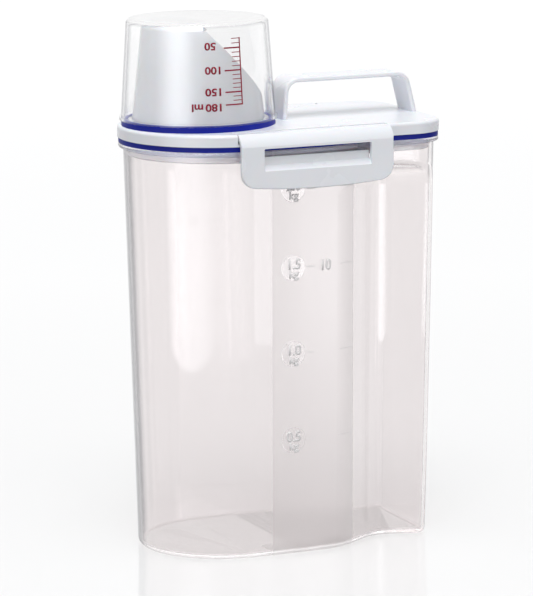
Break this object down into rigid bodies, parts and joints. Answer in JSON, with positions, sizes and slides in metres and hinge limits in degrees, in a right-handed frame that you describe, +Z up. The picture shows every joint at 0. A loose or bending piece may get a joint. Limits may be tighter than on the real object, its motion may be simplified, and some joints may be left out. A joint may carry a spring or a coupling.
{
  "type": "pet food storage container",
  "caption": "Clear tall food jar with finger grooves, a white clip-down lid with a strap handle, and a clear measuring cup that caps a pouring spout.",
  "frame": {"origin": "middle of the flat base, which is the bottom centre of the bounding box", "axes": "+Z up through the lid; +X from the round pouring end with the cup towards the narrow end with the handle; Y across the container, front latch at -Y"},
  "size_m": [0.163, 0.1104, 0.2764],
  "materials": {
    "clear_jar": "clear, polished moulded plastic",
    "white_plastic": "glossy white moulded plastic",
    "blue_seal": "soft satin silicone",
    "milky_plastic": "milky, slightly translucent moulded plastic",
    "clear_cup": "clear, polished moulded plastic with a red printed scale"
  },
  "bodies": {
    "container": {"jar": "clear_jar"},
    "lid_assembly": {"lid": "white_plastic", "lid_seal": "blue_seal", "pour_spout": "milky_plastic", "cup_seal": "blue_seal", "handle": "white_plastic"},
    "cup": {"measuring_cup": "clear_cup"},
    "front_clip": {"front_latch": "white_plastic"},
    "rear_clip": {"rear_latch": "white_plastic"}
  },
  "joints": [
    {"name": "lid_lift", "type": "slide", "parent": "container", "child": "lid_assembly", "axis": [0, 0, 1], "range_m": [0, 0.06]},
    {"name": "cup_lift", "type": "slide", "parent": "lid_assembly", "child": "cup", "axis": [0, 0, 1], "range_m": [0, 0.06]},
    {"name": "front_latch_hinge", "type": "hinge", "parent": "lid_assembly", "child": "front_clip", "pos_m": [0.0032, -0.0452, 0.2191], "axis": [-1, 0, 0], "range_deg": [0, 90]},
    {"name": "rear_latch_hinge", "type": "hinge", "parent": "lid_assembly", "child": "rear_clip", "pos_m": [0.0032, 0.0452, 0.2191], "axis": [1, 0, 0], "range_deg": [0, 90]}
  ]
}
